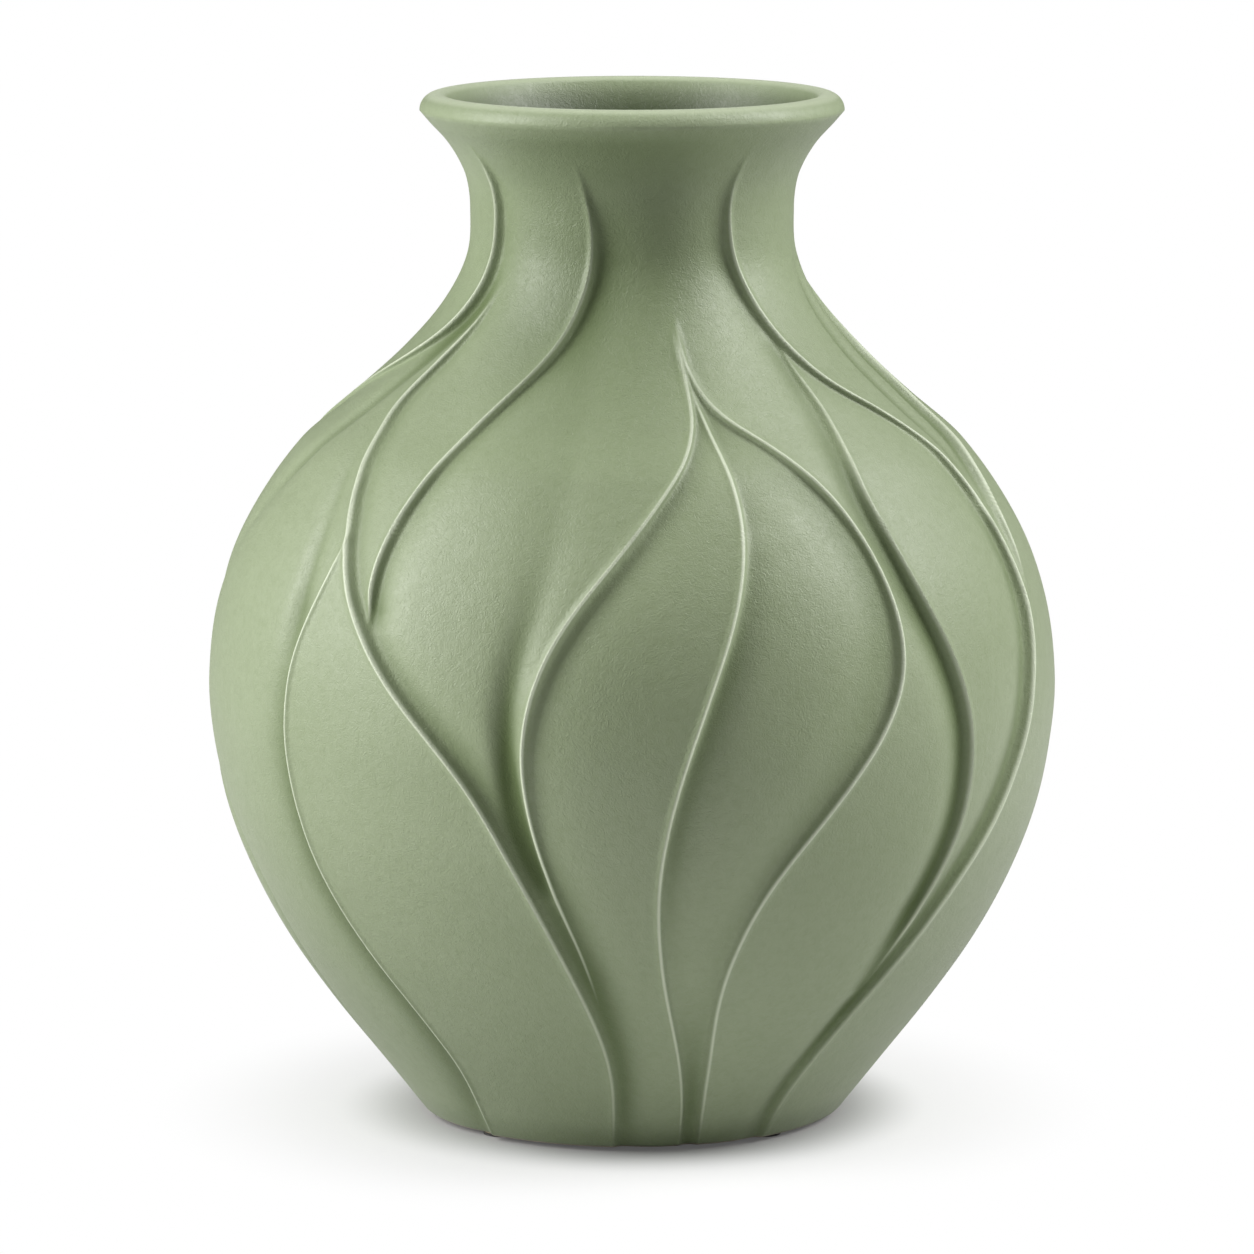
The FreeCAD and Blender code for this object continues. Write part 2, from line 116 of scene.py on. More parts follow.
# Each line's path is (azimuth, level) from the top down. The groove lies at a growing azimuth from
# the bead where side is 1, and at a falling one where it is -1; a valley has side 0 and no bead.
# Bead, groove and reach are (level, value) from the top down: shares of the heights above, and the
# distance in millimetres from the bead to the groove's bottom.
FRONT_LINES = {
    "sweep": dict(
        side=1,
        path=[(-49.5, 252), (-51, 246), (-52.8, 239), (-54.6, 232), (-56.8, 225), (-58.2, 218.5),
              (-57.6, 213), (-55.8, 208.5), (-53.5, 203.5), (-51.3, 197.5), (-48.9, 189),
              (-45.8, 178), (-42.5, 166), (-38.2, 154), (-33.2, 142), (-27.8, 131), (-22.7, 119),
              (-19.2, 107), (-16.5, 95), (-13.9, 83), (-11.3, 70), (-8.7, 57), (-6.3, 44),
              (-4.6, 33), (-3.9, 22), (-4.3, 11), (-5, 1)],
        bead=[(249, 0), (240, 0.5), (228, 1), (110, 1), (70, 0.7), (20, 0.55), (0, 0.45)],
        groove=[(249, 0), (240, 0.3), (225, 0.6), (165, 0.65), (130, 0.8), (100, 0.8), (60, 1.1),
                (25, 0.95), (0, 0.75)],
        reach=[(249, 2.6), (160, 2.8), (110, 3.8), (60, 3.8), (20, 2.8)]),
    "neck_left": dict(
        side=1,
        path=[(-18.6, 290), (-17.9, 281), (-16, 274), (-14.2, 267), (-13.9, 260), (-14.5, 252),
              (-16.3, 245), (-18.9, 237), (-22.6, 229.5), (-27.7, 221.5), (-31.9, 213.5),
              (-34.8, 204.5), (-36.8, 196), (-38.3, 188), (-39.1, 180), (-39.4, 172), (-39.1, 164),
              (-38.4, 156)],
        bead=[(285, 0), (270, 0.5), (250, 0.9), (235, 1), (168, 1), (157, 0)],
        groove=[(285, 0), (268, 0.35), (245, 0.6), (215, 0.7), (180, 0.65), (163, 0.6), (157, 0)],
        reach=[(285, 4.5), (240, 3.6), (215, 2.8), (160, 2.4)]),
    "leaf_valley": dict(
        side=0,
        path=[(-2, 284), (-3, 270), (-5.5, 256), (-9, 243), (-11.6, 230), (-12.2, 216), (-12, 202),
              (-12, 189), (-12.9, 176), (-14.3, 163), (-15.8, 151), (-16.6, 139), (-16.6, 126),
              (-15.9, 113), (-14.6, 101), (-12.9, 91), (-11.5, 82)],
        bead=[(284, 0)],
        groove=[(284, 0), (266, 0.2), (240, 0.4), (205, 0.42), (180, 0.45), (160, 0.65), (140, 1),
                (118, 1.4), (105, 1.25), (92, 0.7), (84, 0)],
        reach=[(284, 9), (250, 11), (225, 9), (180, 6.5), (150, 4.6), (120, 3.3), (95, 2.8)]),
    "leaf_left": dict(
        side=1,
        path=[(12.4, 242), (12.8, 234), (12.6, 226), (12.7, 218.5), (11.9, 212), (9.4, 205),
              (5.6, 197.5), (1.2, 188), (-3.2, 178), (-7.3, 168), (-10.4, 158), (-12.5, 148),
              (-13.8, 138), (-14.4, 127), (-14.2, 117), (-13.5, 106), (-12.2, 94.5), (-10.6, 84),
              (-9.1, 75), (-7.7, 67), (-6.3, 57), (-5, 46), (-4.1, 36), (-3.6, 26)],
        bead=[(241, 0), (232, 0.8), (218, 1), (110, 1), (90, 0.9), (62, 0.5), (42, 0)],
        groove=[(241, 0), (232, 0.1), (205, 0.35), (170, 0.5), (120, 0.3), (80, 0.2), (40, 0)],
        reach=[(241, 4), (120, 4), (40, 3)]),
    "leaf_middle": dict(
        side=1,
        path=[(13, 230), (13.8, 221), (15.2, 212.5), (16.4, 204), (16.9, 195.5), (16.8, 187),
              (16, 178), (14.6, 168), (12.7, 157), (10.6, 146), (8.8, 135.5), (7, 124.5),
              (5.5, 113), (4.4, 102), (3.7, 91), (3.6, 80), (4, 70), (4.7, 60), (5.9, 50),
              (7.5, 40), (9.2, 30), (10.8, 20), (11.9, 10), (12.7, 1)],
        bead=[(226, 0), (214, 0.9), (200, 1), (140, 0.9), (60, 0.75), (20, 0.6), (0, 0.4)],
        groove=[(226, 0), (210, 0.1), (170, 0.35), (150, 0.75), (100, 0.75), (60, 0.3), (20, 0.5),
                (0, 0.5)],
        reach=[(226, 3), (150, 2.8), (60, 3), (20, 2.6)]),
    "leaf_right": dict(
        side=-1,
        path=[(12.5, 242), (12.8, 234), (13.9, 226.5), (16.3, 219.5), (20, 214), (24.4, 209.8),
              (28.7, 204.3), (32.7, 196.5), (35.4, 188.5), (37.2, 180), (38.4, 170), (38.9, 160),
              (38.5, 150), (37.2, 140.5), (34.6, 130.5), (31, 120), (27, 109), (22.9, 98.5),
              (19.4, 88), (17, 77.5), (15.3, 67), (14.3, 57), (14.1, 47), (14.6, 37), (15.2, 28),
              (16, 18), (17.2, 8), (18, 1)],
        bead=[(241, 0), (230, 0.7), (210, 1), (125, 1), (80, 0.8), (20, 0.6), (0, 0.4)],
        groove=[(241, 0), (225, 0.2), (200, 0.6), (150, 0.65), (125, 0.5), (80, 0.4), (20, 0.45),
                (0, 0.5)],
        reach=[(241, 3.4), (200, 5.5), (140, 6), (110, 4.2), (60, 3)]),
    "right_sweep": dict(
        side=-1,
        path=[(44.6, 237), (44.5, 229), (44.3, 221), (43.7, 214), (42.3, 207.5), (40.9, 201.5),
              (40.3, 195), (40.7, 187.5), (41.7, 179.5), (43, 171), (44.7, 162.5), (46.6, 154),
              (48.5, 144.5), (50, 135), (50.9, 125), (51.4, 114), (51.2, 103), (50.1, 92.5),
              (48.8, 83), (47.3, 74), (45.5, 66), (43.9, 58), (42.4, 50)],
        bead=[(234, 0), (222, 0.6), (200, 0.7), (150, 0.6), (100, 0.65), (70, 0.7), (48, 0)],
        groove=[(234, 0), (222, 0.6), (200, 0.95), (160, 1.15), (110, 1.1), (75, 1.1), (48, 0)],
        reach=[(234, 3.4), (160, 3.4), (100, 3), (48, 3)]),
}
SIDE_LINES = {
    "neck_right": dict(
        side=-1,
        path=[(39, 291), (37.8, 284), (36.4, 277), (35.5, 270), (35.9, 263), (37.3, 256),
              (39.4, 249), (41.8, 241.5), (44.5, 234.5), (48, 227), (52.8, 220), (58.5, 215),
              (63, 209.5), (65.7, 203), (67.4, 195), (68.6, 186.5), (69.7, 178), (70.4, 168),
              (70.3, 158), (69.5, 148), (68.3, 139), (66.9, 130), (65.3, 121), (63.3, 112),
              (60.7, 102.5), (57.8, 93), (54.5, 83.5), (51.5, 74), (49, 65.5), (46.7, 57.5),
              (44.3, 49), (42.2, 41), (40.3, 33), (38.6, 25), (37.4, 17), (37, 9), (37.6, 1)],
        bead=[(288, 0), (276, 0.5), (255, 0.9), (240, 1), (150, 1), (90, 0.9), (50, 0.6),
              (0, 0.45)],
        groove=[(288, 0), (275, 0.35), (245, 0.6), (228, 0.6), (205, 0.45), (160, 0.8), (90, 0.9),
                (62, 0.9), (45, 1.2), (25, 0.9), (0, 0.7)],
        reach=[(288, 5), (245, 4), (215, 3), (130, 3.6), (60, 2.6), (30, 2.4)]),
    "far_right": dict(
        side=-1,
        path=[(112, 262), (104, 250), (97, 238), (90, 222), (84.5, 208), (80, 199), (76.5, 190),
              (74.3, 181), (73, 172), (72, 164), (71.2, 156)],
        bead=[(252, 0), (242, 0.25), (225, 0.7), (190, 0.8), (172, 0.6), (156, 0)],
        groove=[(252, 0), (242, 0.4), (225, 1), (200, 1), (180, 0.5), (156, 0)],
        reach=[(262, 3.6), (190, 3)]),
    "shoulder_right": dict(
        side=0,
        path=[(83, 258), (80.5, 250), (77.5, 243), (74.7, 235), (72.9, 227), (72, 218),
              (71.6, 208), (71, 198), (71.2, 188)],
        bead=[(256, 0)],
        groove=[(256, 0), (245, 0.7), (215, 0.85), (197, 0.5), (188, 0)],
        reach=[(256, 3.6), (185, 2.8)]),
    "low_left": dict(
        side=-1,
        path=[(-46.2, 188), (-46.4, 180), (-47.2, 172), (-48.7, 163), (-50.2, 154.5), (-51.4, 145),
              (-51.9, 136), (-52, 127), (-51.9, 118), (-51.4, 108.5), (-50.6, 100), (-49.7, 91),
              (-48.5, 82.5), (-47, 74), (-45.3, 66), (-43.6, 58.5), (-41.8, 51), (-40.2, 43.5),
              (-38.8, 36), (-37.7, 29), (-37.5, 21.5), (-38.5, 13), (-39.8, 6), (-40.8, 1)],
        bead=[(186, 0), (174, 0.8), (140, 1), (60, 1), (20, 0.8), (0, 0.6)],
        groove=[(186, 0), (175, 0.2), (140, 0.8), (100, 1.05), (50, 1.05), (0, 0.9)],
        reach=[(186, 3), (140, 3.6), (60, 4.2), (20, 4)]),
    "low_left_valley": dict(
        side=0,
        path=[(-58.3, 212), (-57, 204), (-55.3, 196), (-53.8, 187), (-53, 178), (-52.7, 168),
              (-52.9, 159), (-53.5, 150), (-54, 141)],
        bead=[(212, 0)],
        groove=[(212, 0), (200, 0.45), (180, 0.6), (160, 0.6), (143, 0)],
        reach=[(212, 3.6), (143, 3.6)]),
    "shoulder_left": dict(
        side=1,
        path=[(-61.5, 292), (-57.7, 285), (-56, 279), (-55, 272), (-54.9, 265), (-56, 258),
              (-57.7, 251.5), (-59.4, 245), (-61.9, 239), (-65.6, 233.5), (-71.2, 228),
              (-79.5, 222.5), (-90, 216), (-101, 206), (-112, 190), (-120, 168), (-124, 141),
              (-122, 111), (-116, 81), (-110, 51), (-107, 25), (-108, 1)],
        bead=[(291, 0), (278, 0.7), (228, 1), (214, 0.4), (190, 0.5), (150, 0.8), (20, 0.6),
              (0, 0.4)],
        groove=[(291, 0), (275, 0.45), (235, 0.75), (214, 0.35), (190, 0.6), (60, 0.9), (0, 0.7)],
        reach=[(291, 2.6), (240, 2.8), (100, 3.4)]),
    "left_valley": dict(
        side=0,
        path=[(-54, 253), (-55, 245), (-57.5, 238), (-61.5, 231), (-65.5, 222.5), (-68.7, 214.5),
              (-71.3, 206), (-74.3, 196), (-77.5, 187), (-81, 178), (-87, 165), (-93, 148),
              (-96, 132), (-92, 118), (-86, 107), (-80, 96), (-76, 84), (-73.5, 70), (-73, 56),
              (-74, 42), (-76, 28), (-78, 14), (-79, 1)],
        bead=[(254, 0)],
        groove=[(254, 0), (242, 0.5), (225, 0.8), (195, 0.7), (170, 0.2), (120, 0.3), (80, 0.5),
                (0, 0.45)],
        reach=[(254, 3.6), (220, 4), (150, 4.4), (100, 3.2), (0, 3)]),
}
# The front's lines come again on the back, turned by this angle.
BACK_TURN = 165.0

# The mesh: its columns gather at the lines so that the beads stay crisp. CREST_SLACK is how near
# the top a row counts as the lip's crest.
COLUMNS = 620
WALL_SAMPLES = 2000
WALL_ROWS = 236
INNER_STATIONS = 24
INNER_ROWS = 44
ROUND_ROWS = 9
LIP_ROWS = 12
FLAT_ROWS = 6
FILLET_ROWS = 5
RING_ROWS = 4
EDGE_ROWS = 2
CREST_SLACK = 0.001
GATHER = 6.0
GATHER_WIDTH = 3.2
GATHER_RAMP = np.hanning(27)
SAMPLES = 2880
PATH_STEPS = 12
MASK_LIMIT = 1.5

# The glaze's colours, the share of each at its strongest, and the levels in metres between which
# it comes or goes. Some are painted light: the grooves' colour is pooled glaze and painted shade,
# the beads' is thin glaze and a painted highlight, the rim's is a painted highlight, and the
# neck's, the foot's and the inside's are painted shade. The painted shade on the neck is darkest
# at its place, left of the middle, and the painted shade inside is darkest at the depth in
# millimetres given after its colour.
SAGE = (0.325, 0.392, 0.228, 1)
PALE_SAGE = (0.355, 0.422, 0.256, 1)
FLECK_GREEN = (0.235, 0.3, 0.14, 1)
FLECK_SHARE = 0.22
# Darker green in the grooves: glaze pooling there, and painted shade.
GROOVE_POOL_AND_SHADE_GREEN = (0.095, 0.138, 0.043, 1)
GROOVE_POOL_AND_SHADE_SHARE = 0.88
# The beads' pale colour: thinner glaze on them, and a painted highlight along them.
BEAD_PALE_AND_HIGHLIGHT_GREEN = (0.77, 0.84, 0.64, 1)
BEAD_PALE_AND_HIGHLIGHT_SHARE = 0.9
# Painted shade on the neck under the lip, darkest at the front left of the middle, and at the
# foot.
NECK_AND_FOOT_SHADE_GREEN = (0.125, 0.172, 0.066, 1)
NECK_SHADE_SHARES = (0.58, 0.12)
NECK_SHADE_PLACE = -0.01
NECK_SHADE_WIDTHS_SQUARED = (0.0001, 0.0015)
SHOULDER_LEVELS = (0.165, 0.24)
UNDER_LIP_LEVELS = (0.289, 0.2965)
FOOT_SHADE_SHARE = 0.4
FOOT_SHADE_LEVELS = (0.003, 0.012)
# A painted highlight along the top of the rim.
RIM_HIGHLIGHT_GREEN = (0.66, 0.73, 0.53, 1)
RIM_HIGHLIGHT_SHARE = 0.42
RIM_HIGHLIGHT_LEVELS = (0.2984, 0.2996)
# Painted shade inside the mouth, growing with depth.
INSIDE_SHADE_GREEN = (0.05, 0.072, 0.026, 1)
INSIDE_SHADE_DEPTH = 9.0
CLAY = (0.46, 0.40, 0.31, 1)
CLAY_LEVELS = (0.0019, 0.0024)
CLAY_WAVE = 0.0008
# Its noises, as scales per metre, and the height of the two that are bumps.
CLOUD_SCALE = 16
FLECK_SCALE = 420
GRAIN_SCALE = 800
SOFT_SCALE = 230
CLAY_SCALE = 60
GRAIN_HEIGHT = 0.0002
SOFT_HEIGHT = 0.00012

# The pads' felt and their adhesive film.
FELT_DARK = (0.03, 0.029, 0.027, 1)
FELT_PALE = (0.11, 0.105, 0.1, 1)
FELT_PATCH = (0.06, 0.058, 0.055, 1)
FIBRE_SCALE = 2600
FIBRE_HEIGHT = 0.0002
PATCH_SCALE = 500
AMBER_DARK = (0.60, 0.50, 0.32, 1)
AMBER_PALE = (0.74, 0.66, 0.48, 1)
STREAK_SCALE = 700
STREAK_HEIGHT = 0.00004

# The studio, in metres: the floor's half width, the distances from the axis between which its glow
# grows, weak near the foot as a painted shadow, and its shadow turns plain white, its greys, and
# the world's light on matt surfaces.
FLOOR_REACH = 6.0
SHADOW_GLOW_SPAN = (0.06, 0.09)
SHADOW_GLOW_STRENGTHS = (0.08, 0.44)
WHITE_SPAN = (0.06, 0.145)
NEAR_GREY = (0.5, 0.5, 0.5, 1)
UNSEEN_GREY = (0.6, 0.6, 0.6, 1)
WORLD_LIGHT = 0.14
# Each lamp's azimuth, elevation and power, and what the lamps share.
LAMPS = {"left_box": (-77, 28, 18.2), "right_box": (90, 42, 17.6)}
LAMP_DISTANCE = 1.3
LAMP_SIZE = (0.5, 1.1)
LAMP_AIM = 0.15

# The photograph's camera: it looks down a little from far away, and the axis is a little right of
# the picture's middle.
PHOTO_WIDTH = 1254
FOCAL_PIXELS = 7100.0
VIEW_DISTANCE = 2082.0
VIEW_ELEVATION = 9.3
TARGET_LEVEL = 143.1
AXIS_SHIFT = 1.47


def slopes_of(points):
    """Slope of the smooth curve at each of its points."""
    places, values = np.array(points, float).T
    slopes = np.empty_like(values)
    slopes[1:-1] = (values[2:] - values[:-2]) / (places[2:] - places[:-2])
    slopes[0] = (values[1] - values[0]) / (places[1] - places[0])
    slopes[-1] = (values[-1] - values[-2]) / (places[-1] - places[-2])
    return places, values, slopes


def smooth_curve(points, wanted):
    """Values and slopes, at the wanted places, of the smooth curve through points in order."""
    places, values, slopes = slopes_of(points)
    wanted = np.clip(wanted, places[0], places[-1])
    index = np.clip(np.searchsorted(places, wanted) - 1, 0, len(places) - 2)
    span = places[index + 1] - places[index]
    rise = values[index + 1] - values[index]
    run = (wanted - places[index]) / span
    first = slopes[index] * span
    last = slopes[index + 1] * span
    bend = 3 * rise - 2 * first - last
    twist = first + last - 2 * rise
    value = values[index] + run * (first + run * (bend + run * twist))
    slope = (first + run * (2 * bend + run * 3 * twist)) / span
    return value, slope


def ease(run):
    """Smooth step from 0 to 1."""
    run = np.clip(run, 0.0, 1.0)
    return run * run * (3 - 2 * run)


def stretch(shares, low, high, first, last):
    """Stations (level, radius) between two levels."""
    return [(low + (high - low) * rise, first + (last - first) * change)
            for rise, change in shares]


WALL_LOW = BASE + FOOT_ROUND
WALL_HIGH = TOP - LIP_ROLL
STATIONS = (
    stretch(BELLY_SWELL, WALL_LOW, BELLY_LEVEL, FOOT_RADIUS + FOOT_ROUND, BELLY_RADIUS)
    + stretch(SHOULDER_FALL, BELLY_LEVEL, NECK_LEVEL, BELLY_RADIUS, NECK_RADIUS)[1:]
    + stretch(MOUTH_FLARE, NECK_LEVEL, WALL_HIGH, NECK_RADIUS, LIP_RADIUS)[1:])


def arc(centre, radius, start, end, rows):
    """Points (radius, level) of an arc, from a start angle towards an end angle in degrees."""
    angles = np.radians(np.linspace(start, end, rows, endpoint=False))
    return np.stack([centre[0] + radius * np.cos(angles), centre[1] + radius * np.sin(angles)], 1)


def straight(start, end, rows):
    """Points on a straight line, without its end."""
    runs = np.linspace(0, 1, rows, endpoint=False)[:, None]
    return np.array(start) + runs * (np.array(end) - np.array(start))


def wall_section():
    """The plain outer wall as (radius, level) from the foot to the lip, even along its length."""
    levels = np.linspace(WALL_LOW, WALL_HIGH, WALL_SAMPLES)
    radii = smooth_curve(STATIONS, levels)[0]
    length = np.concatenate([[0], np.cumsum(np.hypot(np.diff(radii), np.diff(levels)))])
    spots = np.interp(np.linspace(0, length[-1], WALL_ROWS, endpoint=False), length, levels)
    return np.stack([smooth_curve(STATIONS, spots)[0], spots], 1)


def inner_section(mouth_end):
    """The smooth inside from the mouth down to the floor's edge."""
    levels = np.linspace(FLOOR_LEVEL + INNER_START, WALL_HIGH - 2 * LIP_ROLL, INNER_STATIONS)
    radii, slopes = smooth_curve(STATIONS, levels)
    reach = WALL / np.hypot(1, slopes)
    inner = np.stack([radii - reach, levels + reach * slopes], 1)
    corners = np.concatenate(
        [[mouth_end], inner[::-1], [(HEEL_RADIUS, HEEL_LEVEL), (FLOOR_RADIUS, FLOOR_LEVEL)]])
    length = np.concatenate([[0], np.cumsum(np.hypot(*np.diff(corners, axis=0).T))])
    spots = np.linspace(0, length[-1], INNER_ROWS)
    curves = [np.stack([length, corners[:, axis]], 1) for axis in (0, 1)]
    return np.stack([smooth_curve(curve, spots)[0] for curve in curves], 1)


def section():
    """The whole half section as (radius, level), from the recess's middle round to the floor's."""
    recess_top = BASE + RECESS_DEPTH
    fillet = (RECESS_TOP_RADIUS - RECESS_FILLET, recess_top - RECESS_FILLET)
    chamfer_top = (RING_RADIUS, BASE + RECESS_CHAMFER)
    ring_start = (RING_RADIUS + RECESS_CHAMFER, BASE)
    lean = math.atan(float(smooth_curve(STATIONS, np.array([WALL_LOW]))[1][0]))
    end_level = BASE + FOOT_ROUND * (1 - math.sin(lean))
    foot_end = (STATIONS[0][1] - math.tan(lean) * (WALL_LOW - end_level), end_level)
    foot_centre = (foot_end[0] - FOOT_ROUND * math.cos(lean), BASE + FOOT_ROUND)
    lip_centre = (LIP_RADIUS - LIP_ROLL, WALL_HIGH)
    tilt = math.atan(MOUTH_SLOPE)
    mouth_end = (LIP_RADIUS - 2 * LIP_ROLL, WALL_HIGH)
    round_level = TOP - MOUTH_ROUND
    round_radius = (mouth_end[0] + MOUTH_SLOPE * (round_level - WALL_HIGH)
                    + MOUTH_ROUND / math.cos(tilt))
    round_end = 180 - math.degrees(tilt)
    return np.concatenate([
        straight((HUB_RADIUS, recess_top), (fillet[0], recess_top), FLAT_ROWS),
        arc(fillet, RECESS_FILLET, 90, 0, FILLET_ROWS),
        straight((RECESS_TOP_RADIUS, fillet[1]), chamfer_top, EDGE_ROWS),
        straight(chamfer_top, ring_start, EDGE_ROWS),
        straight(ring_start, (foot_centre[0], BASE), RING_ROWS),
        arc(foot_centre, FOOT_ROUND, -90, -math.degrees(lean), ROUND_ROWS),
        straight(foot_end, STATIONS[0][::-1], EDGE_ROWS),
        wall_section(),
        arc(lip_centre, LIP_ROLL, 0, 90, LIP_ROWS),
        arc((round_radius, round_level), MOUTH_ROUND, 90, round_end, ROUND_ROWS),
        inner_section(mouth_end),
        straight((FLOOR_RADIUS, FLOOR_LEVEL), (HUB_RADIUS, FLOOR_LEVEL), FLAT_ROWS)[1:],
        [(HUB_RADIUS, FLOOR_LEVEL)],
    ])


def all_lines():
    """Every relief line with the angle that turns it."""
    lines = [(line, 0.0) for line in FRONT_LINES.values()]
    lines += [(line, 0.0) for line in SIDE_LINES.values()]
    lines += [(line, BACK_TURN) for line in FRONT_LINES.values()]
    return lines


def profile(table, levels):
    """Values of a (level, value) table at levels."""
    places, values = np.array(table, float)[::-1].T
    return np.interp(levels, places, values)


def smooth_path(points):
    """A cubic B-spline close along points, as many points on it."""
    points = np.array(points, float)
    held = np.concatenate([[2 * points[0] - points[1]], points, [2 * points[-1] - points[-2]]])
    run = np.linspace(0, 1, PATH_STEPS, endpoint=False)[:, None]
    weights = [(1 - run) ** 3 / 6, (3 * run ** 3 - 6 * run ** 2 + 4) / 6,
               (-3 * run ** 3 + 3 * run ** 2 + 3 * run + 1) / 6, run ** 3 / 6]
    spans = [sum(weights[corner] * held[start + corner] for corner in range(4))
             for start in range(len(points) - 1)]
    return np.concatenate(spans + [points[-1:]])


class Line:
    """One relief line, read at the rows of the outer wall."""

    def __init__(self, line, turn, levels, radii, steepness):
        azimuths, heights = smooth_path(line["path"])[::-1].T
        self.side = line["side"]
        self.azimuth = np.interp(levels, heights, azimuths) + turn
        drift = np.interp(levels, heights, np.gradient(azimuths, heights))
        inside = (levels <= heights[-1]) & ((levels >= heights[0]) | (heights[0] <= BASE))
        self.bead = profile(line["bead"], levels) * inside
        self.groove = profile(line["groove"], levels) * inside
        self.reach = profile(line["reach"], levels)
        self.weight = np.clip(2 * np.maximum(self.bead, self.groove), 0, 1)
        self.weight = np.convolve(self.weight, GATHER_RAMP / GATHER_RAMP.sum(), "same")
        sideways = radii * np.radians(drift) / steepness
        self.degree_width = np.radians(1) * radii / np.hypot(1, sideways)

    def offset(self, azimuths, rows):
        """Distance in millimetres square to the line, for azimuths of some rows."""
        turn = (azimuths - self.azimuth[rows][:, None] + 180) % 360 - 180
        return turn * self.degree_width[rows][:, None]

    def height(self, azimuths, rows):
        """How the line lifts and lowers the wall, and how deep its groove is, from 0 to 1."""
        offset = self.offset(azimuths, rows)
        reach = self.reach[rows][:, None]
        groove = self.groove[rows][:, None]
        bead = self.bead[rows][:, None]
        if self.side == 0:
            dip = groove * np.exp(-(offset / reach) ** 2)
            return -GROOVE_DEPTH * dip, dip, np.zeros_like(dip)
        past = self.side * offset
        beyond = (past + np.hypot(past, GROOVE_SOFTNESS)) / 2
        before = (np.hypot(past, GROOVE_SOFTNESS) - past) / 2
        crest = np.exp(-(offset / BEAD_WIDTH) ** 2)
        lobe = np.exp(-before / LOBE_REACH) * np.exp(-(beyond / LOBE_DROP) ** 2)
        run = beyond / reach
        dip = groove * run * np.exp(1 - run)
        lift = bead * (BEAD_HEIGHT * crest + LOBE_HEIGHT * lobe) - GROOVE_DEPTH * dip
        # The last mask is the bead's pale strip: thin glaze and a painted highlight.
        return lift, dip, bead * np.exp(-(offset / PALE_AND_HIGHLIGHT_WIDTH) ** 2)


def gathered_columns(lines, rows):
    """Azimuths of the columns at some rows, closer together beside the lines."""
    grid = np.linspace(0, 360, SAMPLES + 1)
    density = np.ones((len(rows), SAMPLES + 1))
    for line in lines:
        weight = line.weight[rows][:, None]
        width = GATHER_WIDTH if line.side else 2 * GATHER_WIDTH
        gather = GATHER if line.side else GATHER / 4
        density += gather * weight * np.exp(-(line.offset(grid[None, :], rows) / width) ** 2)
    total = np.concatenate(
        [np.zeros((len(rows), 1)), np.cumsum((density[:, 1:] + density[:, :-1]) / 2, 1)], 1)
    wanted = np.arange(COLUMNS) / COLUMNS
    return np.stack([np.interp(wanted, sums / sums[-1], grid) for sums in total])


def carved_rows(points):
    """Radii and azimuths of the mesh's points, row by row, with two masks: how deep in a groove a
    point lies, and how high on a bead."""
    radii, levels = points.T
    # The outer wall's rows, from the foot to the lip's crest.
    outer = np.zeros(len(points), bool)
    first = int(np.argmax(radii >= FOOT_RADIUS - FOOT_ROUND / 2))
    last = int(np.argmax(levels >= TOP - CREST_SLACK))
    outer[first:last] = True
    steepness = np.ones(len(points))
    steepness[outer] = np.hypot(1, smooth_curve(STATIONS, levels[outer])[1])
    lines = [Line(line, turn, levels, radii, steepness) for line, turn in all_lines()]
    rows = np.arange(len(points))
    sources = np.clip(rows, first, last - 1)
    azimuths = gathered_columns(lines, sources)
    lift = np.zeros_like(azimuths)
    dips = np.zeros_like(azimuths)
    crests = np.zeros_like(azimuths)
    for line in lines:
        line_lift, line_dip, line_crest = line.height(azimuths[first:last], rows[first:last])
        lift[first:last] += line_lift
        dips[first:last] += line_dip
        crests[first:last] = np.maximum(crests[first:last], line_crest)
    fade = 1 - ease((levels - (RELIEF_TOP - RELIEF_FADE)) / RELIEF_FADE)
    fade *= FOOT_RELIEF + (1 - FOOT_RELIEF) * ease((levels - BASE) / FOOT_FADE)
    lift = RELIEF_LIMIT * np.tanh(lift / RELIEF_LIMIT) * fade[:, None]
    return radii[:, None] + lift, azimuths, dips * fade[:, None], crests * fade[:, None]


